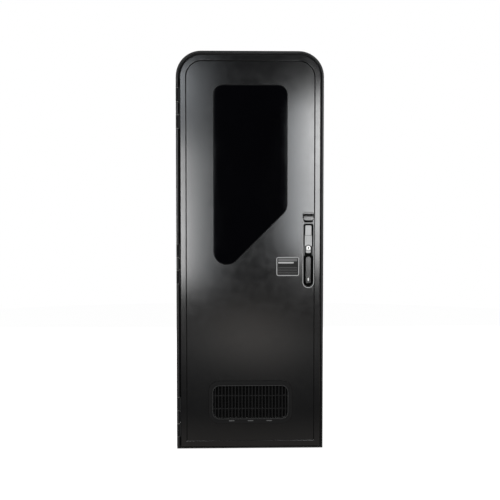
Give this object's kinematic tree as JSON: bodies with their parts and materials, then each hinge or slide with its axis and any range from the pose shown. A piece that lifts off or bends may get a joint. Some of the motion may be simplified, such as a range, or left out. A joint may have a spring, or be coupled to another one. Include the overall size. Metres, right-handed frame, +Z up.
{
  "type": "caravan entry door",
  "caption": "Tall narrow outward-opening caravan entry door in a clamp-in frame, with a slanted dark window, a low vent and a flush pull-handle lock.",
  "frame": {"origin": "middle of the sill's lower edge, on the rear face of the frame flange that lies on the wall", "axes": "+X right seen from outside, +Y from outside to inside, +Z up"},
  "size_m": [0.655, 0.073, 1.773],
  "materials": {
    "black_paint": "satin powder coat",
    "black_glass": "tinted, polished",
    "black_plastic": "fine moulded grain",
    "grey_plastic": "satin",
    "rubber": "matt",
    "screen_mesh": "fine mesh",
    "label_film": "matt film, light border",
    "steel": "zinc plated",
    "bright_metal": "polished",
    "foam": "rigid foam block"
  },
  "bodies": {
    "frame": {"frame_hoop": "black_paint", "frame_sill": "black_paint", "frame_seal": "rubber", "clamp_hoop": "black_paint", "clamp_sill": "black_paint", "hinge_rail": "black_paint", "latch_keeper": "steel", "hinge_pin_upper": "steel", "hinge_pin_middle": "steel", "hinge_pin_lower": "steel"},
    "door": {"leaf_hoop": "black_paint", "leaf_bottom_rail": "black_paint", "outer_skin": "black_paint", "inner_skin": "black_paint", "window_glass": "black_glass", "window_gasket": "rubber", "window_inner_trim": "black_plastic", "vent_grille": "black_plastic", "vent_screen": "screen_mesh", "vent_inner_grille": "black_plastic", "lock_escutcheon": "black_plastic", "lock_tub": "black_plastic", "cap_gasket": "rubber", "lock_cap": "black_plastic", "lock_insert": "grey_plastic", "key_barrel": "grey_plastic", "inner_lock_case": "black_plastic", "inner_lever": "black_plastic", "latch_faceplate": "steel", "label_plate": "label_film", "handle_pin": "steel", "core_head": "foam", "core_window_left": "foam", "core_window_right": "foam", "core_under_window": "foam", "core_middle": "foam", "core_waist": "foam", "core_vent_left": "foam", "core_vent_right": "foam", "core_foot": "foam", "hinge_strap_upper": "black_paint", "hinge_strap_middle": "black_paint", "hinge_strap_lower": "black_paint"},
    "handle": {"pull_handle": "black_plastic"},
    "key": {"key_plug": "bright_metal"}
  },
  "joints": [
    {"name": "door_swing", "type": "hinge", "parent": "frame", "child": "door", "pos_m": [-0.3215, -0.026, 0.833], "axis": [0, 0, -1], "range_deg": [0, 170]},
    {"name": "handle_pull", "type": "hinge", "parent": "door", "child": "handle", "pos_m": [0.25925, -0.017, 0.754], "axis": [1, 0, 0], "range_deg": [0, 35], "stiffness_Nm_per_rad": 0.4},
    {"name": "key_turn", "type": "hinge", "parent": "door", "child": "key", "pos_m": [0.25925, -0.029, 0.9035], "axis": [0, 1, 0], "range_deg": [0, 90]}
  ]
}
